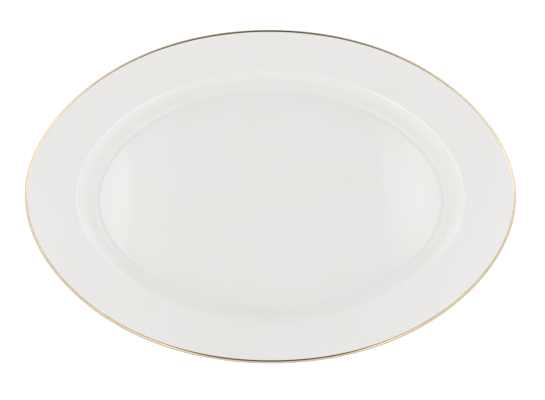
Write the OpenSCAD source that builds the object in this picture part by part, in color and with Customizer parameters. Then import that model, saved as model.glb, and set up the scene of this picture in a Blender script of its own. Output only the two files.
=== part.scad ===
// Oval china serving platter with a gilt edge.
// A raised flange rolls over a verge, down a steep cove and into a wide flat well. One pressed
// piece of china carries them all, with a foot ring underneath. Clear glaze coats it everywhere
// but the foot's ground face, and a gold line is painted round the lip.
// +Z is up and +X runs along the length. The origin is the middle of the plane it stands on.

/* [Outline] */
// Length over the lip, from end to end
platter_l = 355.6; // [330:0.1:400]
// Width over the lip, from side to side
platter_w = 248; // [230:0.5:270]
// Width of the flange at the two ends
flange_end_w = 35; // [32:0.5:40]
// Width of the flange along the two sides
flange_side_w = 26.5; // [24:0.5:30]
// Run of the cove, from the verge in to the edge of the well's floor
cove_run = 17; // [17:0.5:20]
// How much the oval is drawn in between its ends and its sides, as a share
shoulder_taper = 0.017; // [0:0.001:0.025]

/* [Heights] */
// Rise of the flange, from the verge to the lip
flange_rise = 9; // [7:0.5:11]
// Hollow of the flange under a straight line from verge to lip
flange_dip = 0.5; // [0:0.1:1]
// Depth of the well's floor below the verge
cove_drop = 13; // [11:0.5:13.5]
// Crown of the floor's middle above its edge
floor_crown = 0.3; // [0.1:0.1:0.6]
// Height of the base above the plane it stands on
foot_h = 2.4; // [2.3:0.1:3]

/* [Curves] */
// Radius where the floor turns up into the cove
cove_r = 7; // [6:0.5:8]
// Radius where the cove rolls over into the flange
verge_r = 13; // [11:0.5:14.5]

/* [Wall] */
// Thickness of the china in the floor and the cove
wall_t = 3.6; // [3:0.1:4.2]
// Thickness of the china at the lip
lip_t = 2.4; // [2:0.1:3]

/* [Foot ring] */
// Radius of the foot ring's rounded bead
foot_r = 1.9; // [1.7:0.1:2]
// Setback of the bead's middle from the edge of the well's floor
foot_setback = 5; // [4.5:0.5:8]
// Depth ground off the bead to make the face it stands on
foot_grind = 0.35; // [0.3:0.05:0.5]

/* [Glaze and gold] */
// Thickness of the glaze
glaze_t = 0.2; // [0.15:0.05:0.3]
// Thickness given to the gold line
gold_t = 0.08; // [0.05:0.01:0.12]
// Angle below the middle of the foot's bead where the glaze is wiped off
glaze_stop = 25; // [15:5:35]

/* [Backstamp] */
// Radius of the wreath's stem
wreath_r = 8.5; // [7:0.5:11]
// Leaves on each side of the stem
wreath_leaves = 7; // [5:1:8]
// Thickness given to the stamp's enamel
stamp_t = 0.06; // [0.05:0.01:0.1]

/* [Smoothness] */
// Sides of each oval
oval_sides = 80; // [48:8:88]
// Steps in each of the curves between floor and flange
curve_steps = 4; // [3:1:6]
// Steps in each half of the lip
lip_steps = 4; // [3:1:5]

/* [Hidden] */

// Levels of the base, the floor's edge and the verge
base_z = foot_h;
floor_z = base_z + wall_t;
verge_z = floor_z + cove_drop;

// The lip is a half round, and its glaze and gold lie outside it
coat_t = glaze_t + gold_t;
lip_r = lip_t / 2;
lip_c = [-lip_r - coat_t, verge_z + flange_rise - lip_r - coat_t];

// Slope of the flange where it leaves the lip and where it reaches the verge
flange_mean_w = (flange_end_w + flange_side_w) / 2;
lip_slope = atan((flange_rise + 4 * flange_dip) / flange_mean_w);
verge_slope = atan((flange_rise - 4 * flange_dip) / flange_mean_w);

// Centres of the two curves in the cove, and the slope of the straight wall that joins them
cove_c = [-cove_run, floor_z + cove_r];
verge_c = [verge_r * sin(verge_slope), verge_z - verge_r * cos(verge_slope)];
cove_to_verge = verge_c - cove_c;
curve_share = min(1, (cove_r + verge_r) / norm(cove_to_verge));
steep = atan2(cove_to_verge[1], cove_to_verge[0]) + asin(curve_share);

// Middle of the foot's bead, and the fillet between the bead and the base
bead_c = [-cove_run - foot_setback, foot_r - foot_grind];
bead_fillet = base_z - bead_c[1];

// Steps across the flange, round the foot's bead and round its fillets
flange_steps = 3;
bead_steps = 6;
fillet_steps = 2;

// The floor and the base are level out to this share of their half-width, and fall away past it
level_share = 0.35;
crown_shares = [level_share, 0.7];

// The stamp's leaves are pointed, where two round arcs cross, and its petals are round
leaf_arc_r = 2.6;
leaf_half_w = 0.6;
leaf_tilt = 40;
wreath_gap = 50;
stem_w = 0.45;
petals = 5;
petal_r = 1.25;
petal_reach = 1.6;
stamp_fn = 48;

function mix(a, b, t) = a + (b - a) * t;
function reverse(v) = [for (i = [len(v) - 1:-1:0]) v[i]];
function tail(v) = [for (i = [1:1:len(v) - 1]) v[i]];
function on_arc(c, r, angle) = [c[0] + r * cos(angle), c[1] + r * sin(angle)];

// An oval station, [half length, half width, height]. inset runs from 0 at the lip to 1 at the
// verge, and out then moves the oval outwards by the same amount all round.
function station(inset, out, z) = [
    platter_l / 2 - inset * flange_end_w + out,
    platter_w / 2 - inset * flange_side_w + out,
    z
];
function well_station(p) = station(1, p[0], p[1]);
function lip_station(p) = station(0, p[0], p[1]);
function pole(z) = [0, 0, z];

// The stations along an arc, from one angle to the other
function well_arc(c, r, from, to, steps) =
    [for (i = [0:steps]) well_station(on_arc(c, r, mix(from, to, i / steps)))];
function lip_arc(r, from, to) =
    [for (i = [0:lip_steps]) lip_station(on_arc(lip_c, r, mix(from, to, i / lip_steps)))];

// The stations between the lip and the verge, which hang a little below a straight line
function flange(at_lip, at_verge) = [
    for (i = [1:flange_steps - 1])
        let (t = i / flange_steps, p = mix(at_lip, at_verge, t))
            station(t, p[0], p[1] - 4 * flange_dip * t * (1 - t))
];

// Height of the crown at a share of the half-width
function crown(share) = floor_crown * (1 - share * share) / (1 - level_share * level_share);
// The stations of a crowned oval inside its edge, from the middle out
function crowned(edge) = concat(
    [pole(edge[2] + crown(level_share))],
    [for (s = crown_shares) [s * edge[0], s * edge[1], edge[2] + crown(s)]]
);

// The face, from the floor's middle out to the lip's outermost line. off is how far the
// surface stands off the china, so each coat is one of these surfaces laid over another.
function face(off) =
    let (
        floor_edge = well_arc(cove_c, cove_r - off, -90, steep - 90, curve_steps),
        roll = well_arc(verge_c, verge_r + off, 90 + steep, 90 + verge_slope, curve_steps),
        at_lip = on_arc(lip_c, lip_r + off, 90 + lip_slope),
        at_verge = on_arc(verge_c, verge_r + off, 90 + verge_slope)
    )
    concat(
        crowned(floor_edge[0]),
        floor_edge,
        roll,
        reverse(flange(at_lip, at_verge)),
        lip_arc(lip_r + off, 90 + lip_slope, 0)
    );

// The back, from the lip's outermost line in to where the glaze stops on the foot
function back(off) =
    let (
        at_lip = on_arc(lip_c, lip_r + off, lip_slope - 90),
        at_verge = on_arc(verge_c, verge_r - wall_t - off, 90 + verge_slope),
        fillet_c = bead_c + [foot_r + bead_fillet, 0]
    )
    concat(
        lip_arc(lip_r + off, 0, lip_slope - 90),
        flange(at_lip, at_verge),
        well_arc(verge_c, verge_r - wall_t - off, 90 + verge_slope, 90 + steep, curve_steps - 1),
        well_arc(cove_c, cove_r + wall_t + off, steep - 90, -90, curve_steps - 1),
        well_arc(fillet_c, bead_fillet - off, 90, 180, fillet_steps),
        [well_station(on_arc(bead_c, foot_r + off, -glaze_stop))]
    );

// The underside of the bead, before it is ground flat
function bead() = well_arc(bead_c, foot_r, -glaze_stop, glaze_stop - 180, bead_steps);

// The base inside the foot, from where the glaze starts in to the middle
function base(off) =
    let (
        fillet_c = bead_c - [foot_r + bead_fillet, 0],
        fillet = well_arc(fillet_c, bead_fillet - off, 0, 90, fillet_steps)
    )
    concat(
        [well_station(on_arc(bead_c, foot_r + off, glaze_stop - 180))],
        fillet,
        reverse(crowned(fillet[fillet_steps]))
    );

// How far out the oval reaches in each direction, as a share of a true ellipse
function plan_reach(t) = 1 - shoulder_taper * pow(sin(2 * t) * cos(t), 2);

// How many points a station has: a pole is one point
function size(ring) = ring[0] == 0 ? 1 : oval_sides;
function ring_points(ring) = [
    for (j = [0:size(ring) - 1])
        let (t = 360 * j / oval_sides, reach = plan_reach(t))
            [ring[0] * reach * cos(t), ring[1] * reach * sin(t), ring[2]]
];

// The triangles between two stations that start at points s0 and s1. lean chooses which way
// the diagonals run, so that two coats share the very same triangles where they touch.
function band(s0, n0, s1, n1, lean) = [
    for (j = [0:oval_sides - 1])
        let (k = (j + 1) % oval_sides)
            each n0 == 1 ? (n1 == 1 ? [] : [[s0, s1 + k, s1 + j]])
                : n1 == 1 ? [[s0 + j, s0 + k, s1]]
                : lean ? [[s0 + j, s0 + k, s1 + k], [s0 + j, s1 + k, s1 + j]]
                : [[s0 + j, s0 + k, s1 + j], [s0 + k, s1 + k, s1 + j]]
];

// A closed solid whose section runs along the outer stations and comes back along the inner
module loft(outer, inner = []) {
    rings = concat(outer, reverse(inner));
    count = len(rings);
    starts = [for (i = 0, s = 0; i < count; s = s + size(rings[i]), i = i + 1) s];
    polyhedron(
        points = [for (ring = rings) each ring_points(ring)],
        faces = [
            for (i = [0:count - 1])
                let (m = (i + 1) % count)
                    each band(starts[i], size(rings[i]), starts[m], size(rings[m]), i < len(outer) - 1)
        ],
        convexity = 4
    );
}

// The pressed china, fired once and bare, with its foot ground flat
module china_body() {
    color([0.93, 0.92, 0.9])
        difference() {
            loft(concat(face(0), tail(back(0)), tail(bead()), tail(base(0))));
            translate([-platter_l / 2, -platter_w / 2, -foot_r])
                cube([platter_l, platter_w, foot_r]);
        }
}

// The glaze over the face, from the well out to the lip's outermost line
module face_glaze() {
    color([0.97, 0.96, 0.95])
        loft(face(glaze_t), face(0));
}

// The glaze over the back, from the lip's outermost line to the outside of the foot
module back_glaze() {
    color([0.95, 0.95, 0.93])
        loft(back(glaze_t), back(0));
}

// The glaze over the base, inside the foot
module base_glaze() {
    color([0.94, 0.94, 0.92])
        loft(base(glaze_t), base(0));
}

// The gold line, painted over the glaze on the lip and round on to its back
module gold_edge_band() {
    function line(off) =
        let (under = lip_arc(lip_r + off, 0, lip_slope - 90))
            concat(
                tail(lip_arc(lip_r + off, 90 + lip_slope, 0)),
                [for (i = [1:lip_steps - 1]) under[i]]
            );
    color([0.85, 0.72, 0.45])
        loft(line(coat_t), line(glaze_t));
}

// A pointed leaf, where two round arcs cross, with its stalk end at the origin
module leaf() {
    arc_y = leaf_arc_r - leaf_half_w;
    half_l = sqrt(leaf_arc_r * leaf_arc_r - arc_y * arc_y);
    intersection() {
        translate([half_l, arc_y])
            circle(r = leaf_arc_r, $fn = stamp_fn);
        translate([half_l, -arc_y])
            circle(r = leaf_arc_r, $fn = stamp_fn);
    }
}

// The wreath's stem, open at the top
module stem() {
    difference() {
        circle(r = wreath_r + stem_w / 2, $fn = stamp_fn);
        circle(r = wreath_r - stem_w / 2, $fn = stamp_fn);
        polygon([[0, 0], 2 * wreath_r * [-tan(wreath_gap / 2), 1], 2 * wreath_r * [tan(wreath_gap / 2), 1]]);
    }
}

// The enamel stamp on the base: a wreath round a five-petalled flower, with no words
module backstamp() {
    color([0.45, 0.38, 0.26])
        translate([0, 0, base_z + floor_crown - glaze_t - stamp_t])
            linear_extrude(height = stamp_t) {
                stem();
                for (half = [0, 1], i = [1:wreath_leaves], side = [-1, 1]) {
                    along = (180 - wreath_gap / 2) * i / (wreath_leaves + 0.5);
                    mirror([half, 0])
                        rotate(along - 90)
                            translate([wreath_r, 0])
                                rotate(90 - side * leaf_tilt)
                                    leaf();
                }
                for (i = [0:petals - 1])
                    rotate(90 + 360 * i / petals)
                        translate([petal_reach, 0])
                            circle(r = petal_r, $fn = stamp_fn);
            }
}

china_body();
face_glaze();
back_glaze();
base_glaze();
gold_edge_band();
backstamp();
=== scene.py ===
"""An oval china serving platter with a gilt edge, dressed over its fixed frame.

The platter is one pressed oval of bone china. Clear glaze coats its face, its back and its base,
a gold line is painted round the lip, and an enamel wreath is stamped under the middle. Every coat
is the same oval section, swept round with its own stand-off from the china.
Lengths are in metres and angles in radians, unless a name says otherwise.
"""

from __future__ import annotations

import logging
import math
from dataclasses import dataclass, field
from enum import Enum

import bpy
import numpy as np
from mathutils import Euler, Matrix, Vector


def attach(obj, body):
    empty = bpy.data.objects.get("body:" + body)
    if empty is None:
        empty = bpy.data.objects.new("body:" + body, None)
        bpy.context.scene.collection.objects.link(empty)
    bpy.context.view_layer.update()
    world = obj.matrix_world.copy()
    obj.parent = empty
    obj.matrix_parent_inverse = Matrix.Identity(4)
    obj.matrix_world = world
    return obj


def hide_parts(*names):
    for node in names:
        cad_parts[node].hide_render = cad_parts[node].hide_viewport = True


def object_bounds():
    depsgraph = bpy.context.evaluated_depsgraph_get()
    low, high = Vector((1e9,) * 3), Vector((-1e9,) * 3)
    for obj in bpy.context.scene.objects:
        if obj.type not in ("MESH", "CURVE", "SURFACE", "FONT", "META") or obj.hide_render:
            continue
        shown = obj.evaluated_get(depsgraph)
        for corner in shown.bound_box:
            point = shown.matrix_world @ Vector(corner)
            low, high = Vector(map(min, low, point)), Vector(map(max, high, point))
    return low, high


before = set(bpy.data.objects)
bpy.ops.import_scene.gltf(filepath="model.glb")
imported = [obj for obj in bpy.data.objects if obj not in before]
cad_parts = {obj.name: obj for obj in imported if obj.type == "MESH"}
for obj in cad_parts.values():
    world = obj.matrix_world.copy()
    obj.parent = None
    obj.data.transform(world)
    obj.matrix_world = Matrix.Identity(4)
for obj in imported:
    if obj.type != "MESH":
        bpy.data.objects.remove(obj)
CAD_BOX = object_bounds()

Array = np.ndarray
MM = 0.001
BODY = "root"

log = logging.getLogger("platter")


class Slot(Enum):
    """The record's material slots, by what each is in the workshop."""

    CHINA = "bone_china"
    GLAZE = "clear_glaze"
    GOLD = "bright_gold"
    ENAMEL = "stamp_enamel"


# ---------------------------------------------------------------------------
# Shapes
# ---------------------------------------------------------------------------


def blend_step(t: Array) -> Array:
    """Rise smoothly from 0 to 1 as t does, level at both ends: 3t^2 - 2t^3, clamped."""
    t = np.clip(t, 0.0, 1.0)
    return t * t * (3.0 - 2.0 * t)


def soften(rows: Array, passes: int) -> Array:
    """Round the corners of curves that are sampled down the first axis.

    Each pass moves a row to a quarter of the row before, half of itself and a quarter of the
    row after, and leaves the two end rows where they are.

    Args:
        rows: The samples, one curve to a column.
        passes: How many times to do it.

    Returns:
        The softened samples, in the same shape.
    """
    rows = rows.copy()
    for _ in range(passes):
        rows[1:-1] = 0.25 * rows[:-2] + 0.5 * rows[1:-1] + 0.25 * rows[2:]
    return rows


@dataclass(frozen=True)
class Stations:
    """A stack of ovals: half lengths, half widths and heights, one row to an oval.

    Each array has a column for every direction round the oval, because the section's slopes
    differ a little between the ends and the sides.
    """

    half_l: Array
    half_w: Array
    height: Array

    def __add__(self, other: Stations) -> Stations:
        """Follow these ovals with other's."""
        return Stations(
            np.vstack([self.half_l, other.half_l]),
            np.vstack([self.half_w, other.half_w]),
            np.vstack([self.height, other.height]),
        )

    def __getitem__(self, rows: slice) -> Stations:
        """Take some of the rows."""
        return Stations(self.half_l[rows], self.half_w[rows], self.height[rows])

    def softened(self, passes: int) -> Stations:
        """Round the section's corners, with a quarter-half-quarter filter down the rows."""
        return Stations(*(soften(a, passes) for a in (self.half_l, self.half_w, self.height)))


@dataclass(frozen=True)
class PlatterForm:
    """The section of the platter, and the slight warp that firing leaves in it.

    The section is laid out from the lip inwards. A point on it has an inset, from 0 at the lip
    to 1 at the verge, and a reach outwards that is the same all round the oval.
    """

    length: float
    width: float
    flange_end: float = 35 * MM
    flange_side: float = 26.5 * MM
    flange_rise: float = 9 * MM
    flange_dip: float = 0.5 * MM
    cove_run: float = 17 * MM
    shoulder_taper: float = 0.017
    cove_drop: float = 13 * MM
    cove_r: float = 7 * MM
    verge_r: float = 13 * MM
    floor_crown: float = 0.3 * MM
    wall: float = 3.6 * MM
    lip_wall: float = 2.4 * MM
    foot_h: float = 2.4 * MM
    foot_r: float = 1.9 * MM
    foot_setback: float = 5 * MM
    foot_grind: float = 0.35 * MM
    glaze: float = 0.2 * MM
    gold: float = 0.08 * MM
    glaze_stop: float = math.radians(25)
    around: int = 384
    soft_passes: int = 12

    @property
    def turns(self) -> Array:
        """Directions round the oval, as a row."""
        return np.linspace(0.0, math.tau, self.around, endpoint=False)[None, :]

    @property
    def base_z(self) -> float:
        """Height of the base inside the foot."""
        return self.foot_h

    @property
    def floor_z(self) -> float:
        """Height of the edge of the well's floor."""
        return self.foot_h + self.wall

    @property
    def verge_z(self) -> float:
        """Height of the verge, where the flange rolls over into the cove."""
        return self.floor_z + self.cove_drop

    @property
    def floor_axes(self) -> tuple[float, float]:
        """Half length and half width of the well's floor."""
        return (
            self.length / 2 - self.flange_end - self.cove_run,
            self.width / 2 - self.flange_side - self.cove_run,
        )

    @property
    def lip_centre(self) -> tuple[float, float]:
        """Reach and height of the middle of the lip's half round."""
        r = self.lip_wall / 2 + self.glaze + self.gold
        return -r, self.verge_z + self.flange_rise - r

    def local_flange(self) -> Array:
        """Width of the flange in each direction, measured square to the verge.

        With n the outward normal of the verge's oval, it is (end cos, side sin).n divided by
        (cos, sin).n, so that slopes worked out with it meet without a crease.

        Returns:
            A row of widths, one to a direction.
        """
        cos, sin = np.cos(self.turns), np.sin(self.turns)
        nx = cos / (self.length / 2 - self.flange_end)
        ny = sin / (self.width / 2 - self.flange_side)
        return (self.flange_end * cos * nx + self.flange_side * sin * ny) / (cos * nx + sin * ny)

    def slopes(self) -> tuple[Array, Array]:
        """Slope of the flange at the lip and at the verge, in each direction."""
        width = self.local_flange()
        return (
            np.arctan((self.flange_rise + 4 * self.flange_dip) / width),
            np.arctan((self.flange_rise - 4 * self.flange_dip) / width),
        )

    def cove(self) -> tuple[tuple[float, float], tuple[Array, Array], Array]:
        """Centres of the cove's two arcs, and the slope of the wall between them.

        The lower arc is tangent to the floor and the upper one to the flange. The wall is the
        line that touches both from opposite sides, so its slope is the angle of the line of
        centres plus the arcsine of the radii's sum over the distance between centres.

        Returns:
            The lower centre, the upper centre and the slope in each direction.
        """
        verge_slope = self.slopes()[1]
        low = (-self.cove_run, self.floor_z + self.cove_r)
        high = (
            self.verge_r * np.sin(verge_slope),
            self.verge_z - self.verge_r * np.cos(verge_slope),
        )
        dx, dz = high[0] - low[0], high[1] - low[1]
        touch = np.minimum(1.0, (self.cove_r + self.verge_r) / np.hypot(dx, dz))
        return low, high, np.arctan2(dz, dx) + np.arcsin(touch)

    def stations(self, inset: Array, reach: Array, height: Array) -> Stations:
        """Turn insets, reaches and heights into ovals, with one column to a direction."""
        full = np.zeros((1, self.around))
        return Stations(
            self.length / 2 - inset * self.flange_end + reach + full,
            self.width / 2 - inset * self.flange_side + reach + full,
            height + full,
        )

    def arc(
        self,
        centre: tuple[Array | float, Array | float],
        radius: float | Array,
        start: float | Array,
        end: float | Array,
        rows: int,
        inset: float = 1.0,
    ) -> Stations:
        """Sweep an arc of the section: centre + radius (cos a, sin a), a from start to end.

        Args:
            centre: Reach and height of the arc's middle.
            radius: Radius of the arc.
            start: Angle of the first row, from outwards round to up.
            end: Angle of the last row.
            rows: How many ovals to lay along it.
            inset: 1 for an arc in the cove or the foot, 0 for one at the lip.

        Returns:
            The ovals along the arc.
        """
        t = np.linspace(0.0, 1.0, rows)[:, None]
        angle = start + (end - start) * t
        return self.stations(
            np.full_like(t, inset),
            centre[0] + radius * np.cos(angle),
            centre[1] + radius * np.sin(angle),
        )

    def flange(self, off: float, face: bool, rows: int) -> Stations:
        """Lay the flange from the lip in to the verge.

        Height runs straight between the two tangent points, less 4 dip t(1 - t), where t is
        the share of the way in.

        Args:
            off: Stand-off from the china.
            face: True for the upper side, False for the under side.
            rows: How many ovals to lay, the ends left out.

        Returns:
            The ovals across the flange.
        """
        lip_slope, verge_slope = self.slopes()
        lip_x, lip_z = self.lip_centre
        high = self.cove()[1]
        lip_angle = lip_slope + (math.pi / 2 if face else -math.pi / 2)
        lip_r = self.lip_wall / 2 + off
        verge_r = self.verge_r + off if face else self.verge_r - self.wall - off
        verge_angle = verge_slope + math.pi / 2
        t = np.linspace(0.0, 1.0, rows + 2)[1:-1, None]
        reach = (lip_x + lip_r * np.cos(lip_angle)) * (1 - t)
        reach = reach + (high[0] + verge_r * np.cos(verge_angle)) * t
        height = (lip_z + lip_r * np.sin(lip_angle)) * (1 - t)
        height = height + (high[1] + verge_r * np.sin(verge_angle)) * t
        return self.stations(t, reach, height - 4 * self.flange_dip * t * (1 - t))

    def crown(self, share: Array) -> Array:
        """Height of the crown at a share s of the way out: crown (1 - s^2)^2."""
        return self.floor_crown * (1 - share * share) ** 2

    def disc(self, edge: Stations, rows: int) -> Stations:
        """Fill the inside of an oval with shrunken copies, raised by the crown.

        The share of the way out is 1 - (1 - u)^2, with u even, so they crowd towards the edge.

        Args:
            edge: One oval, the edge of the disc.
            rows: How many ovals to lay, from the middle out, the edge left out.

        Returns:
            The ovals. The first has no size, and is the middle.
        """
        share = 1 - (1 - np.linspace(0.0, 1.0, rows + 1)[:-1, None]) ** 2
        return Stations(share * edge.half_l, share * edge.half_w, edge.height + self.crown(share))

    def face(self, off: float, fine: int) -> Stations:
        """Lay the face from the middle of the floor to the lip's outermost line.

        Args:
            off: Stand-off from the china.
            fine: How finely to sample it; 1 is plain.

        Returns:
            The ovals, from the middle out.
        """
        low, high, steep = self.cove()
        lip_slope, verge_slope = self.slopes()
        quarter = math.pi / 2
        lower = self.arc(low, self.cove_r - off, -quarter, steep - quarter, 6 * fine + 1)
        upper = self.arc(high, self.verge_r + off, quarter + steep, quarter + verge_slope, 8 * fine)
        wall_t = np.linspace(0.0, 1.0, 3 * fine + 2)[1:-1, None]
        wall = Stations(
            *(a[-1:] + (b[:1] - a[-1:]) * wall_t for a, b in (
                (lower.half_l, upper.half_l),
                (lower.half_w, upper.half_w),
                (lower.height, upper.height),
            ))
        )
        rim = self.flange(off, True, 8 * fine)[::-1]
        lip = self.arc(
            self.lip_centre, self.lip_wall / 2 + off, quarter + lip_slope, 0.0, 4 * fine + 1, 0.0
        )
        section = self.disc(lower[:1], 12 * fine) + lower + wall + upper + rim
        return section.softened(self.soft_passes if fine > 1 else 0) + lip

    def back(self, off: float, fine: int) -> Stations:
        """Lay the back from the lip's outermost line in to where the glaze stops on the foot.

        Args:
            off: Stand-off from the china. It thins to a fifth of this over the foot's bead.
            fine: How finely to sample it; 1 is plain.

        Returns:
            The ovals, from the lip in.
        """
        low, high, steep = self.cove()
        lip_slope, verge_slope = self.slopes()
        quarter = math.pi / 2
        bead = self.bead_centre
        fillet = self.foot_h - bead[1]
        under = self.verge_r - self.wall - off
        lip_r = self.lip_wall / 2 + off
        return (
            self.arc(self.lip_centre, lip_r, 0.0, lip_slope - quarter, 4 * fine + 1, 0.0)
            + self.flange(off, False, 5 * fine)
            + self.arc(high, under, quarter + verge_slope, quarter + steep, 5 * fine)
            + self.arc(low, self.cove_r + self.wall + off, steep - quarter, -quarter, 7 * fine)
            + self.arc(
                (bead[0] + self.foot_r + fillet, bead[1]), fillet - off, quarter, math.pi, 4 * fine
            )[:-1]
            + self.bead(off, 0.0, -self.glaze_stop, 2 * fine)
        )

    @property
    def bead_centre(self) -> tuple[float, float]:
        """Reach and height of the middle of the foot's bead."""
        return -self.cove_run - self.foot_setback, self.foot_r - self.foot_grind

    def bead(self, off: float, start: float, end: float, rows: int) -> Stations:
        """Lay part of the foot's bead, thinning the coat to a fifth towards its end."""
        thin = np.linspace(1.0, 0.2, rows)[:, None] * off
        return self.arc(self.bead_centre, self.foot_r + thin, start, end, rows)

    def foot(self, rows: int) -> Stations:
        """Lay the bare underside of the bead, ground off flat where it would pass below zero."""
        bare = self.arc(
            self.bead_centre, self.foot_r, -self.glaze_stop, self.glaze_stop - math.pi, rows
        )
        return Stations(bare.half_l, bare.half_w, np.maximum(bare.height, 0.0))

    def base(self, off: float, fine: int) -> Stations:
        """Lay the base inside the foot, from where its glaze starts in to the middle.

        Args:
            off: Stand-off from the china. It grows from a fifth of this over the foot's bead.
            fine: How finely to sample it; 1 is plain.

        Returns:
            The ovals, from the foot in. The last has no size, and is the middle.
        """
        bead = self.bead_centre
        fillet = self.foot_h - bead[1]
        side = self.bead(off, math.pi, math.pi + self.glaze_stop, 2 * fine)[::-1]
        corner = self.arc(
            (bead[0] - self.foot_r - fillet, bead[1]), fillet - off, 0.0, math.pi / 2, 4 * fine
        )
        return side + corner[1:] + self.disc(corner[-1:], 8 * fine)[::-1]

    def warp(self, x: Array, y: Array) -> Array:
        """How far firing has moved a point up or down.

        Inside the floor it is three slow waves times (1 - s^2)^2, where s is the share of the
        way out to the floor's edge. Past the edge the rim droops by up to an eighth of a
        millimetre in two lobes, by the square of the share of the way to the lip.

        Args:
            x: Places along the length.
            y: Places across the width.

        Returns:
            Rises, in the same shape.
        """
        floor_l, floor_w = self.floor_axes
        share = np.hypot(x / floor_l, y / floor_w)
        inside = np.clip(1 - share * share, 0.0, 1.0) ** 2
        waves = (
            0.050 * MM * np.cos(61 * x + 23 * y + 0.4)
            + 0.034 * MM * np.cos(-38 * x + 74 * y + 1.9)
            + 0.022 * MM * np.cos(97 * x + 52 * y + 4.1)
        )
        out = np.clip((share - 1) / (self.length / 2 / floor_l - 1), 0.0, 1.0) ** 2
        lobes = 0.5 - 0.5 * np.cos(2 * np.arctan2(y / floor_w, x / floor_l) + 0.9)
        return inside * waves - 0.12 * MM * out * lobes

    def points(self, ovals: Stations) -> Array:
        """Place every station in space.

        A point is (reach half_l cos t, reach half_w sin t, height + warp). The reach is
        1 - taper (sin 2t cos t)^2 in direction t, which draws the oval in a little at its
        shoulders, between the ends and the sides.

        Args:
            ovals: The stations.

        Returns:
            Points in an array of rows by directions by 3.
        """
        cos, sin = np.cos(self.turns), np.sin(self.turns)
        reach = 1 - self.shoulder_taper * (2 * sin * cos * cos) ** 2
        x = ovals.half_l * reach * cos
        y = ovals.half_w * reach * sin
        return np.stack([x, y, ovals.height + self.warp(x, y)], axis=-1)


# ---------------------------------------------------------------------------
# Meshes
# ---------------------------------------------------------------------------


def new_piece(
    name: str, verts: Array, quads: Array, tris: Array, crease: float
) -> bpy.types.Object:
    """Make a smooth-shaded object from whole arrays, with sharp edges at the real corners.

    Args:
        name: The object's name.
        verts: Points, one to a row.
        quads: Four corners to a row.
        tris: Three corners to a row.
        crease: Edges that turn by more than this stay sharp.

    Returns:
        The object, linked to the scene.
    """
    mesh = bpy.data.meshes.new(name)
    loops = np.concatenate([quads.ravel(), tris.ravel()]).astype(np.int32)
    sizes = np.concatenate([np.full(len(quads), 4), np.full(len(tris), 3)])
    starts = np.concatenate([[0], np.cumsum(sizes)[:-1]]).astype(np.int32)
    mesh.vertices.add(len(verts))
    mesh.vertices.foreach_set("co", verts.astype(np.float32).ravel())
    mesh.loops.add(len(loops))
    mesh.loops.foreach_set("vertex_index", loops)
    mesh.polygons.add(len(sizes))
    mesh.polygons.foreach_set("loop_start", starts)
    mesh.update(calc_edges=True)
    mesh.validate()
    mesh.shade_smooth()
    mesh.set_sharp_from_angle(angle=crease)
    piece = bpy.data.objects.new(name, mesh)
    bpy.context.scene.collection.objects.link(piece)
    return piece


def loft(name: str, points: Array, poles: tuple[bool, bool]) -> bpy.types.Object:
    """Skin a stack of ovals as one closed surface.

    Row i, direction j is joined to row i + 1 and direction j + 1 by a quad that is wound
    to face outwards when the rows run out over the top and back underneath. With no poles the
    last row is joined to the first.

    Args:
        name: The object's name.
        points: Rows by directions by 3.
        poles: Whether the first row, and the last, is a single point.

    Returns:
        The new object.
    """
    rows, cols = points.shape[:2]
    first, last = poles
    index = np.arange(rows * cols).reshape(rows, cols)
    index[0] = 0 if first else index[0]
    index[-1] = index[-1, 0] if last else index[-1]
    if not (first or last):
        index = np.vstack([index, index[:1]])
    near, far = index[:-1], index[1:]
    quads = np.stack([near, far, np.roll(far, -1, 1), np.roll(near, -1, 1)], axis=-1)
    tris = np.zeros((0, 3), int)
    if first:
        tris = np.vstack([tris, quads[0][:, [0, 1, 2]]])
        quads = quads[1:]
    if last:
        tris = np.vstack([tris, quads[-1][:, [0, 1, 3]]])
        quads = quads[:-1]
    used, tidy = np.unique(np.concatenate([quads.ravel(), tris.ravel()]), return_inverse=True)
    quads, tris = tidy[: quads.size].reshape(-1, 4), tidy[quads.size:].reshape(-1, 3)
    return new_piece(name, points.reshape(-1, 3)[used], quads, tris, math.radians(50))


def ribbons(name: str, left: Array, right: Array, low: Array, high: Array) -> bpy.types.Object:
    """Make flat closed ribbons, each between a left and a right edge, with square sides.

    A ribbon's section is the rectangle left-low, right-low, right-high, left-high, carried
    along its length and closed by a quad at each end. Where the sum of ahead x across is
    negative the two edges change places, so that every ribbon faces outwards.

    Args:
        name: The object's name.
        left: Left edges, ribbons by steps by 2.
        right: Right edges, in the same shape.
        low: Heights of the lower side, ribbons by steps.
        high: Heights of the upper side, in the same shape.

    Returns:
        One object that holds every ribbon.
    """
    count, steps = left.shape[:2]
    ahead, across = np.diff(left + right, axis=1), (right - left)[:, 1:] + (right - left)[:, :-1]
    area = (ahead[..., 0] * across[..., 1] - ahead[..., 1] * across[..., 0]).sum(axis=1)
    turned = (area < 0)[:, None, None]
    left, right = np.where(turned, right, left), np.where(turned, left, right)
    corners = np.stack(
        [
            np.dstack([left, low]),
            np.dstack([right, low]),
            np.dstack([right, high]),
            np.dstack([left, high]),
        ],
        axis=2,
    )
    index = np.arange(count * steps * 4).reshape(count, steps, 4)
    near, far = index[:, :-1], index[:, 1:]
    walls = np.stack([near, np.roll(near, -1, 2), np.roll(far, -1, 2), far], axis=-1)
    ends = np.concatenate([index[:, 0][:, ::-1], index[:, -1]])
    quads = np.concatenate([walls.reshape(-1, 4), ends])
    return new_piece(name, corners.reshape(-1, 3), quads, np.zeros((0, 3), int), math.radians(30))


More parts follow.
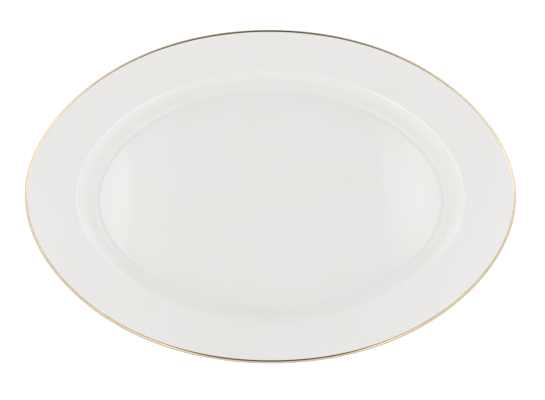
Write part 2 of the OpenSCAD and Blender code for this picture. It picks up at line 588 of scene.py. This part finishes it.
def seat(piece: bpy.types.Object, slot: Slot, material: bpy.types.Material, *nodes: str) -> None:
    """Fix a finished piece to the platter and say which solids it stands for.

    Args:
        piece: The object, already in place.
        slot: The record's material slot for the piece; not used.
        material: Its material.
        nodes: The solids that it replaces.
    """
    piece.data.materials.clear()
    piece.data.materials.append(material)
    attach(piece, BODY)
    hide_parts(*nodes)
    log.info("%s: %d faces, for %s", piece.name, len(piece.data.polygons), ", ".join(nodes))


# ---------------------------------------------------------------------------
# Finishes
# ---------------------------------------------------------------------------

# A mix node's sockets for its two colours and its result
COLOUR_A, COLOUR_B, COLOUR_OUT = 6, 7, 2


class Shader:
    """A material under construction: its node tree and a few short ways to fill it."""

    def __init__(self, name: str) -> None:
        """Start a material with an empty Principled surface."""
        self.material = bpy.data.materials.new(name)
        self.material.use_nodes = True
        self.tree = self.material.node_tree
        self.surface = self.tree.nodes["Principled BSDF"]
        self.place = self.node("ShaderNodeTexCoord").outputs["Object"]

    def node(self, kind: str, **settings: object) -> bpy.types.Node:
        """Add a node and set its properties."""
        made = self.tree.nodes.new(kind)
        for key, value in settings.items():
            setattr(made, key, value)
        return made

    def wire(self, source: bpy.types.NodeSocket, node: bpy.types.Node, socket: str | int) -> None:
        """Link a value into a node's socket."""
        self.tree.links.new(source, node.inputs[socket])

    def noise(
        self, scale: float, detail: float = 2.0, vector: bpy.types.NodeSocket | None = None
    ) -> bpy.types.NodeSocket:
        """Add a cloud pattern with that many clouds to the metre, and return its value."""
        made = self.node("ShaderNodeTexNoise")
        made.inputs["Scale"].default_value = scale
        made.inputs["Detail"].default_value = detail
        self.wire(vector or self.place, made, "Vector")
        return made.outputs["Fac"]

    def remap(
        self, value: bpy.types.NodeSocket, low: float, high: float, to: tuple[float, float]
    ) -> bpy.types.NodeSocket:
        """Stretch a value smoothly from low..high to the range in to."""
        made = self.node("ShaderNodeMapRange", interpolation_type="SMOOTHSTEP")
        made.inputs["From Min"].default_value = low
        made.inputs["From Max"].default_value = high
        made.inputs["To Min"].default_value = to[0]
        made.inputs["To Max"].default_value = to[1]
        self.wire(value, made, "Value")
        return made.outputs["Result"]

    def math(
        self, operation: str, a: bpy.types.NodeSocket, b: bpy.types.NodeSocket | float
    ) -> bpy.types.NodeSocket:
        """Combine two values."""
        made = self.node("ShaderNodeMath", operation=operation)
        self.wire(a, made, 0)
        if isinstance(b, float):
            made.inputs[1].default_value = b
        else:
            self.wire(b, made, 1)
        return made.outputs[0]

    def mix(
        self,
        share: bpy.types.NodeSocket,
        a: bpy.types.NodeSocket | tuple[float, float, float],
        b: tuple[float, float, float],
    ) -> bpy.types.NodeSocket:
        """Mix two colours.

        Args:
            share: How far to go from a to b, 0 to 1.
            a: The first colour, a constant or another node's.
            b: The second colour.

        Returns:
            The mixed colour.
        """
        made = self.node("ShaderNodeMix", data_type="RGBA")
        self.wire(share, made, "Factor")
        if isinstance(a, tuple):
            made.inputs[COLOUR_A].default_value = (*a, 1.0)
        else:
            self.wire(a, made, COLOUR_A)
        made.inputs[COLOUR_B].default_value = (*b, 1.0)
        return made.outputs[COLOUR_OUT]

    def bump(self, height: bpy.types.NodeSocket, depth: float, strength: float) -> None:
        """Raise the surface by a pattern, depth metres high at full strength."""
        made = self.node("ShaderNodeBump")
        made.inputs["Distance"].default_value = depth
        made.inputs["Strength"].default_value = strength
        self.wire(height, made, "Height")
        self.wire(made.outputs["Normal"], self.surface, "Normal")


@dataclass(frozen=True)
class GlazeFinish:
    """Clear gloss glaze over warm white china, faintly clouded, rippled and specked."""

    thin: tuple[float, float, float] = (0.862, 0.853, 0.834)
    thick: tuple[float, float, float] = (0.870, 0.862, 0.846)
    speck: tuple[float, float, float] = (0.52, 0.47, 0.40)
    gloss: tuple[float, float] = (0.045, 0.085)

    def build(self, name: str) -> bpy.types.Material:
        """Make the material.

        Slow clouds shift the white between two tones, a finer cloud shifts the gloss, sparse
        pinprick specks of iron lie in it, and a low ripple bends its reflections.

        Args:
            name: The material's name.

        Returns:
            The material.
        """
        s = Shader(name)
        white = s.mix(s.remap(s.noise(17.0, 3.0), 0.35, 0.65, (0.0, 1.0)), self.thin, self.thick)
        cells = s.node("ShaderNodeTexVoronoi", feature="F1")
        cells.inputs["Scale"].default_value = 55.0
        s.wire(s.place, cells, "Vector")
        dot = s.remap(cells.outputs["Distance"], 0.008, 0.016, (1.0, 0.0))
        chosen = s.node("ShaderNodeSeparateColor")
        s.wire(cells.outputs["Color"], chosen, 0)
        rare = s.remap(chosen.outputs[0], 0.93, 0.95, (0.0, 0.3))
        s.wire(s.mix(s.math("MULTIPLY", dot, rare), white, self.speck), s.surface, "Base Color")
        s.wire(s.remap(s.noise(31.0), 0.3, 0.7, self.gloss), s.surface, "Roughness")
        s.surface.inputs["IOR"].default_value = 1.52
        s.bump(s.noise(95.0, 1.5), 0.03 * MM, 0.35)
        return s.material


@dataclass(frozen=True)
class BiscuitFinish:
    """Bare once-fired china: matt, close-grained and a little greyed where it is rubbed."""

    clean: tuple[float, float, float] = (0.79, 0.77, 0.72)
    rubbed: tuple[float, float, float] = (0.62, 0.60, 0.56)

    def build(self, name: str) -> bpy.types.Material:
        """Make the material.

        Patches of grey lie over the cream body, and a fine grain roughens it.

        Args:
            name: The material's name.

        Returns:
            The material.
        """
        s = Shader(name)
        patches = s.remap(s.noise(90.0, 4.0), 0.48, 0.72, (0.0, 0.7))
        s.wire(s.mix(patches, self.clean, self.rubbed), s.surface, "Base Color")
        s.wire(s.remap(s.noise(400.0), 0.3, 0.7, (0.62, 0.86)), s.surface, "Roughness")
        s.bump(s.noise(2600.0, 3.0), 0.03 * MM, 0.5)
        return s.material


@dataclass(frozen=True)
class GoldFinish:
    """Bright gold laid with a brush: streaked along the line and rubbed thin in places."""

    full: tuple[float, float, float] = (0.86, 0.67, 0.42)
    thin: tuple[float, float, float] = (0.89, 0.76, 0.57)
    gloss: tuple[float, float] = (0.06, 0.14)
    across: str = "across"

    def build(self, name: str) -> bpy.types.Material:
        """Make the material.

        The streaks are a cloud read from (x, y, share of the way across the line), with the
        share stretched, so that they run along the brush's path all round the lip.

        Args:
            name: The material's name.

        Returns:
            The material.
        """
        s = Shader(name)
        parts = s.node("ShaderNodeSeparateXYZ")
        s.wire(s.place, parts, 0)
        share = s.node("ShaderNodeAttribute", attribute_name=self.across).outputs["Fac"]
        path = s.node("ShaderNodeCombineXYZ")
        s.wire(parts.outputs["X"], path, "X")
        s.wire(parts.outputs["Y"], path, "Y")
        s.wire(s.math("MULTIPLY", share, 0.22), path, "Z")
        streaks = s.noise(70.0, 4.0, path.outputs[0])
        worn = s.remap(s.noise(26.0, 3.0, path.outputs[0]), 0.50, 0.72, (0.0, 1.0))
        s.wire(s.mix(worn, self.full, self.thin), s.surface, "Base Color")
        s.wire(s.remap(streaks, 0.3, 0.7, self.gloss), s.surface, "Roughness")
        s.surface.inputs["Metallic"].default_value = 1.0
        s.bump(streaks, 0.02 * MM, 0.4)
        return s.material


@dataclass(frozen=True)
class EnamelFinish:
    """Sepia transfer enamel, a little uneven, as a print fired into the glaze is."""

    dark: tuple[float, float, float] = (0.12, 0.075, 0.035)
    pale: tuple[float, float, float] = (0.24, 0.165, 0.09)

    def build(self, name: str) -> bpy.types.Material:
        """Make the material.

        A fine cloud shifts the ink between two browns and its gloss with them.

        Args:
            name: The material's name.

        Returns:
            The material.
        """
        s = Shader(name)
        ink = s.noise(1400.0, 3.0)
        tone = s.remap(ink, 0.35, 0.65, (0.0, 1.0))
        s.wire(s.mix(tone, self.dark, self.pale), s.surface, "Base Color")
        s.wire(s.remap(ink, 0.3, 0.7, (0.22, 0.38)), s.surface, "Roughness")
        s.bump(ink, 0.01 * MM, 0.4)
        return s.material


# ---------------------------------------------------------------------------
# The platter's pieces
# ---------------------------------------------------------------------------


@dataclass
class PressedChina:
    """The pressed oval of china itself, bare where the foot is ground."""

    form: PlatterForm
    finish: BiscuitFinish = field(default_factory=BiscuitFinish)

    def build(self) -> bpy.types.Object:
        """Lay the face, the back, the foot and the base as one closed skin."""
        form = self.form
        rows = form.face(0.0, 3) + form.back(0.0, 2)[1:] + form.foot(24)[1:-1] + form.base(0.0, 2)
        return loft("pressed_china", form.points(rows), (True, True))

    def dress(self, piece: bpy.types.Object) -> None:
        """Give it its biscuit finish and seat it."""
        seat(piece, Slot.CHINA, self.finish.build("bare_biscuit"), "china_body")


@dataclass
class GlazeCoats:
    """The three coats of clear glaze: over the face, over the back and inside the foot."""

    form: PlatterForm
    finish: GlazeFinish = field(default_factory=GlazeFinish)
    face_fine: int = 5
    back_fine: int = 4

    def build(self) -> list[bpy.types.Object]:
        """Skin each coat from its outer surface and, coming back, the china under it.

        Returns:
            The face's coat, the back's and the base's.
        """
        form = self.form
        coat = form.glaze
        face = form.face(coat, self.face_fine) + form.face(0.0, 1)[::-1]
        back = form.back(coat, self.back_fine) + form.back(0.0, 1)[::-1]
        base = form.base(0.0, 1)[::-1] + form.base(coat, self.back_fine)
        return [
            loft("face_coat", form.points(face), (True, True)),
            loft("back_coat", form.points(back), (False, False)),
            loft("base_coat", form.points(base), (True, True)),
        ]

    def dress(self, pieces: list[bpy.types.Object]) -> None:
        """Give all three the same glaze and seat each for its own solid."""
        material = self.finish.build("clear_gloss_glaze")
        for piece, node in zip(pieces, ("face_glaze", "back_glaze", "base_glaze")):
            seat(piece, Slot.GLAZE, material, node)


@dataclass
class GoldLine:
    """The gold line, brushed round the lip by hand, so that its edges wander a little."""

    form: PlatterForm
    finish: GoldFinish = field(default_factory=GoldFinish)
    inner: float = math.radians(96)
    fuller: float = math.radians(15)
    outer: float = math.radians(-58)
    rows: int = 28
    feather: float = 0.16

    def wander(self, lobes: tuple[int, int, int], start: float) -> Array:
        """How an edge strays: three sine waves round the oval, by up to 4 degrees in all."""
        turns = self.form.turns
        sizes = (0.036, 0.021, 0.013)
        return sum(s * np.sin(n * turns + start * n) for s, n in zip(sizes, lobes))

    def build(self) -> bpy.types.Object:
        """Lay the line's outer surface and come back along the glaze under it.

        The row's share t of the way across gives the angle round the lip. The line starts
        further in along the two long sides, at inner + fuller sin(turn)^2. The gold is at
        its full thickness in the middle and feathers out at both edges.

        Returns:
            The line, with each vertex's share of the way across in an attribute.
        """
        form = self.form
        start = self.inner + self.fuller * np.sin(form.turns) ** 2 + self.wander((5, 13, 31), 0.7)
        end = self.outer + self.wander((4, 11, 27), 2.1)
        t = np.linspace(0.0, 1.0, self.rows)[:, None]
        angle = start + (end - start) * t
        body = blend_step(np.minimum(t, 1 - t) / self.feather)
        radius = form.lip_wall / 2 + form.glaze + form.gold * (0.15 + 0.85 * body)
        under = np.full_like(radius, form.lip_wall / 2 + form.glaze)
        lip_x, lip_z = form.lip_centre

        def shell(r: Array) -> Stations:
            """Ovals at radius r round the lip's middle."""
            reach, height = lip_x + r * np.cos(angle), lip_z + r * np.sin(angle)
            return form.stations(np.zeros_like(t), reach, height)

        line = loft("gold_line", form.points(shell(radius) + shell(under)[::-1]), (False, False))
        share = np.repeat(np.concatenate([t, t[::-1]]), form.around)
        stored = line.data.attributes.new(self.finish.across, "FLOAT", "POINT")
        stored.data.foreach_set("value", share.astype(np.float32))
        return line

    def dress(self, piece: bpy.types.Object) -> None:
        """Give it its gold and seat it."""
        seat(piece, Slot.GOLD, self.finish.build("brushed_on_gold"), "gold_edge_band")


@dataclass
class WreathStamp:
    """The enamel stamp under the middle: two leafy sprays round a five-petalled flower."""

    form: PlatterForm
    finish: EnamelFinish = field(default_factory=EnamelFinish)
    stem_r: float = 8.5 * MM
    stem_w: float = 0.42 * MM
    thick: float = 0.06 * MM
    leaves: int = 7
    leaf_l: float = 3.3 * MM
    leaf_w: float = 0.56 * MM
    vein: float = 0.09 * MM
    gap: float = math.radians(50)
    tilt: float = math.radians(40)
    petals: int = 5
    steps: int = 17
    blunt: float = 0.03 * MM

    def leaf_edges(self) -> tuple[Array, Array]:
        """Both halves of every leaf, as left and right edges.

        Along a leaf, t runs from 0 to 1 and its half width is w sin(pi t^0.8), drawn a
        little narrower towards the tip. Each half lies between the vein and that edge.

        Returns:
            Left and right edges, ribbons by steps by 2.
        """
        t = np.linspace(0.0, 1.0, self.steps)
        half = self.blunt + self.leaf_w * np.sin(math.pi * t**0.8) * (1.12 - 0.25 * t)
        vein = np.minimum(self.vein / 2, half * 0.45)
        along = (math.pi - self.gap / 2) * np.arange(1, self.leaves + 1) / (self.leaves + 0.5)
        spray, side, blade = np.meshgrid(
            along - math.pi / 2, np.array([-1.0, 1.0]), np.array([-1.0, 1.0]), indexing="ij"
        )
        spray, side, blade = spray.ravel()[:, None], side.ravel()[:, None], blade.ravel()[:, None]
        turn = spray + math.pi / 2 - side * self.tilt
        bend = side * 0.35 * (t - 0.5) ** 2 * self.leaf_l
        edges = []
        for reach in (blade * vein, blade * half):
            u, v = self.leaf_l * t, reach + bend
            x = self.stem_r * np.cos(spray) + u * np.cos(turn) - v * np.sin(turn)
            y = self.stem_r * np.sin(spray) + u * np.sin(turn) + v * np.cos(turn)
            right = np.stack([x, y], axis=-1)
            edges.append(np.concatenate([right, right * (-1.0, 1.0)]))
        return edges[0], edges[1]

    def stem_edges(self) -> tuple[Array, Array]:
        """The two stems, each an arc from the foot of the wreath to its open top."""
        t = np.linspace(0.0, 1.0, self.steps)
        angle = -math.pi / 2 + self.blunt / self.stem_r + (math.pi - self.gap / 2) * t
        half = self.stem_w / 2 * (1.0 - 0.6 * t)
        edges = []
        for r in (self.stem_r - half, self.stem_r + half):
            right = np.stack([r * np.cos(angle), r * np.sin(angle)], axis=-1)
            edges.append(np.stack([right, right * (-1.0, 1.0)]))
        return edges[0], edges[1]

    def petal_edges(self) -> tuple[Array, Array]:
        """The flower's petals, each r = 0.5 to 2.7 mm out with half width 0.92 sin(pi t^1.4)."""
        t = np.linspace(0.0, 1.0, self.steps)
        along = (0.5 + 2.2 * t) * MM
        half = self.blunt + 0.92 * MM * np.sin(math.pi * t**1.4)
        turn = (math.pi / 2 + math.tau * np.arange(self.petals) / self.petals)[:, None]
        edges = []
        for v in (-half, half):
            x = along * np.cos(turn) - v * np.sin(turn)
            y = along * np.sin(turn) + v * np.cos(turn)
            edges.append(np.stack([x, y], axis=-1))
        return edges[0], edges[1]

    def build(self) -> bpy.types.Object:
        """Lay every ribbon of enamel on the underside of the base's glaze."""
        form = self.form
        pairs = [self.leaf_edges(), self.stem_edges(), self.petal_edges()]
        left = np.concatenate([p[0] for p in pairs])
        right = np.concatenate([p[1] for p in pairs])
        middle = (left + right) / 2
        floor_l, floor_w = form.floor_axes
        share = np.hypot(middle[..., 0] / floor_l, middle[..., 1] / floor_w)
        high = form.base_z - form.glaze + form.crown(share)
        high = high + form.warp(middle[..., 0], middle[..., 1])
        return ribbons("wreath_stamp", left, right, high - self.thick, high)

    def dress(self, piece: bpy.types.Object) -> None:
        """Give it its enamel and seat it."""
        seat(piece, Slot.ENAMEL, self.finish.build("sepia_enamel"), "backstamp")


# ---------------------------------------------------------------------------
# The studio
# ---------------------------------------------------------------------------


@dataclass(frozen=True)
class Softbox:
    """A rectangular soft light."""

    name: str
    place: tuple[float, float, float]
    size: tuple[float, float]
    glow: float
    turn: float = 0.0

    def build(self) -> None:
        """Hang the light face down. Its power is glow times area times pi: even radiance."""
        light = bpy.data.lights.new(self.name, "AREA")
        light.shape = "RECTANGLE"
        light.size, light.size_y = self.size
        light.energy = self.glow * self.size[0] * self.size[1] * math.pi
        lamp = bpy.data.objects.new(self.name, light)
        lamp.location = self.place
        lamp.rotation_euler = (0.0, 0.0, self.turn)
        lamp.visible_camera = False
        bpy.context.scene.collection.objects.link(lamp)


@dataclass(frozen=True)
class Ring:
    """One ring of the room: its height in degrees, and its brightness in eight directions."""

    height: float
    glow: tuple[float, ...]


@dataclass
class Studio:
    """A pale table, soft lights, a softly graded room and the camera."""

    form: PlatterForm
    rings: tuple[Ring, ...] = (
        Ring(2.0, (0.20, 1.41, 0.98, 1.09, 1.09, 1.09, 0.97, 1.35)),
        Ring(24.0, (0.12, 1.72, 1.12, 1.07, 0.91, 1.00, 1.17, 1.67)),
        Ring(46.0, (0.04, 1.00, 0.85, 0.92, 0.84, 0.92, 0.98, 1.18)),
        Ring(68.0, (0.04, 0.40, 0.29, 0.20, 0.17, 0.21, 0.39, 0.54)),
        Ring(88.0, (0.08,) * 8),
    )
    brightest: float = 2.0
    backdrop: float = 1.05
    glow: float = 0.80
    spill: float = 0.26
    elevation: float = math.radians(77)
    distance: float = 1.3
    shown_length: float = 490.9
    frame_size: tuple[float, float] = (545.0, 400.0)
    lip_at: tuple[float, float] = (270.4, 193.1)
    roll: float = math.radians(0.25)
    sensor: float = 36.0

    def table(self) -> None:
        """Lay a wide pale table.

        Seen directly it glows, so that it stays white under the rim. What it throws back at
        the platter is less, by spill, so that the underside and the foot keep their shade.
        """
        radius, sides = 30.0, 64
        turns = np.linspace(0.0, math.tau, sides, endpoint=False)
        rim = np.stack([radius * np.cos(turns), radius * np.sin(turns), 0 * turns], axis=-1)
        verts = np.vstack([[0.0, 0.0, 0.0], rim])
        ring = np.arange(1, sides + 1)
        tris = np.stack([0 * ring, ring, np.roll(ring, -1)], axis=-1)
        top = new_piece("table_top", verts, np.zeros((0, 4), int), tris, math.pi)
        s = Shader("pale_table")
        cloud = s.remap(s.noise(1.2), 0.3, 0.7, (0.0, 1.0))
        s.wire(s.mix(cloud, (0.34, 0.34, 0.34), (0.36, 0.36, 0.36)), s.surface, "Base Color")
        s.surface.inputs["Roughness"].default_value = 0.9
        s.surface.inputs["Specular IOR Level"].default_value = 0.0
        s.surface.inputs["Emission Color"].default_value = (1.0, 1.0, 1.0, 1.0)
        seen = s.node("ShaderNodeLightPath").outputs["Is Camera Ray"]
        s.wire(s.remap(seen, 0.0, 1.0, (self.spill, self.glow)), s.surface, "Emission Strength")
        top.data.materials.append(s.material)

    def room(self) -> None:
        """Grade the room all round: bright at the sides, dim overhead and dark at the back.

        Each ring of the room has eight brightnesses, an eighth of a turn apart from the back
        round by the right, and a direction's brightness is blended from them and then from
        ring to ring by its height. The room itself is seen as plain white.
        """
        world = bpy.data.worlds.new("room")
        bpy.context.scene.world = world
        world.use_nodes = True
        nodes, links = world.node_tree.nodes, world.node_tree.links

        def value(kind: str, *inputs: object, **settings: object) -> bpy.types.NodeSocket:
            """Add a node, fill its inputs in order and return its first output."""
            made = nodes.new(kind)
            for key, setting in settings.items():
                setattr(made, key, setting)
            for socket, given in zip(made.inputs, inputs):
                if isinstance(given, bpy.types.NodeSocket):
                    links.new(given, socket)
                else:
                    socket.default_value = given
            return made.outputs[0]

        def moved(
            share: bpy.types.NodeSocket, a: bpy.types.NodeSocket, b: bpy.types.NodeSocket | float
        ) -> bpy.types.NodeSocket:
            """Move a brightness by a share of the way from a to b."""
            made = nodes.new("ShaderNodeMix")
            links.new(share, made.inputs["Factor"])
            links.new(a, made.inputs["A"])
            if isinstance(b, bpy.types.NodeSocket):
                links.new(b, made.inputs["B"])
            else:
                made.inputs["B"].default_value = b
            return made.outputs[0]

        way = nodes.new("ShaderNodeSeparateXYZ")
        links.new(nodes.new("ShaderNodeTexCoord").outputs["Generated"], way.inputs[0])
        bearing = value("ShaderNodeMath", way.outputs[0], way.outputs[1], operation="ARCTAN2")
        turned = value("ShaderNodeMapRange", bearing, -math.pi, math.pi, 0.0, 1.0)
        height = value("ShaderNodeMath", way.outputs[2], operation="ARCSINE")
        glow: bpy.types.NodeSocket | None = None
        below = 0.0
        for ring in self.rings:
            ramp = nodes.new("ShaderNodeValToRGB")
            links.new(turned, ramp.inputs[0])
            stops = ramp.color_ramp.elements
            bright = ring.glow[4:] + ring.glow[:5]
            for k, b in enumerate(bright):
                stop = stops[-1 if k else 0] if k in (0, 8) else stops.new(k / 8)
                stop.color = (b / self.brightest, b / self.brightest, b / self.brightest, 1.0)
            here = value("ShaderNodeMath", ramp.outputs[0], self.brightest, operation="MULTIPLY")
            if glow is None:
                glow = here
            else:
                blend = nodes.new("ShaderNodeMapRange")
                blend.interpolation_type = "SMOOTHSTEP"
                blend.inputs["From Min"].default_value = math.radians(below)
                blend.inputs["From Max"].default_value = math.radians(ring.height)
                links.new(height, blend.inputs["Value"])
                glow = moved(blend.outputs[0], glow, here)
            below = ring.height
        seen = nodes.new("ShaderNodeLightPath").outputs["Is Camera Ray"]
        glow = moved(seen, glow, self.backdrop)
        nodes["Background"].inputs["Color"].default_value = (1.0, 1.0, 1.0, 1.0)
        links.new(glow, nodes["Background"].inputs["Strength"])

    def softboxes(self) -> tuple[Softbox, ...]:
        """Strips overhead, either side of the camera, which show in the two ends of the well."""
        return (
            Softbox("strip_left", (-0.208, -0.05, 0.55), (0.112, 0.80), 1.9),
            Softbox("strip_left_fade", (-0.131, -0.03, 0.55), (0.042, 0.55), 0.5),
            Softbox("strip_right", (0.200, -0.05, 0.55), (0.120, 0.80), 1.0, math.radians(5)),
            Softbox("strip_right_core", (0.214, -0.05, 0.545), (0.100, 0.80), 0.85, math.radians(5)),
        )

    def camera(self) -> None:
        """Stand the camera off at its elevation, and frame the lip as it is in the frame.

        The frame is frame_size units across and down. The lens is the one that makes the
        lip's length shown_length units at its distance. The camera then slides square to its
        view until the lip's middle is at lip_at, counted from the frame's top left.
        """
        units_per_m = self.shown_length / self.form.length
        data = bpy.data.cameras.new("camera")
        data.sensor_width = self.sensor
        data.lens = self.distance * units_per_m * self.sensor / self.frame_size[0]
        data.clip_start, data.clip_end = 0.05, 100.0
        camera = bpy.data.objects.new("camera", data)
        turn = Euler((math.pi / 2 - self.elevation, 0.0, 0.0)).to_matrix()
        right, up, back = turn.col
        lip = Vector((0.0, 0.0, self.form.lip_centre[1]))
        slide_x = (self.frame_size[0] / 2 - self.lip_at[0]) / units_per_m
        slide_y = (self.lip_at[1] - self.frame_size[1] / 2) / units_per_m
        camera.location = lip + back * self.distance + right * slide_x + up * slide_y
        camera.rotation_euler = (math.pi / 2 - self.elevation, 0.0, 0.0)
        camera.rotation_euler.rotate_axis("Z", self.roll)
        bpy.context.scene.collection.objects.link(camera)
        bpy.context.scene.camera = camera

    def build(self) -> None:
        """Set up everything round the platter."""
        bpy.context.scene.view_settings.view_transform = "Standard"
        self.table()
        self.room()
        for box in self.softboxes():
            box.build()
        self.camera()
        log.info("studio: table, room, softboxes and camera")


def main() -> None:
    """Build the platter from the china outwards, then the studio."""
    logging.basicConfig(level=logging.INFO, format="%(name)s: %(message)s")
    low, high = CAD_BOX
    form = PlatterForm(length=high.x - low.x, width=high.y - low.y)
    for maker in (PressedChina(form), GlazeCoats(form), GoldLine(form), WreathStamp(form)):
        maker.dress(maker.build())
    Studio(form).build()


if __name__ == "__main__":
    main()
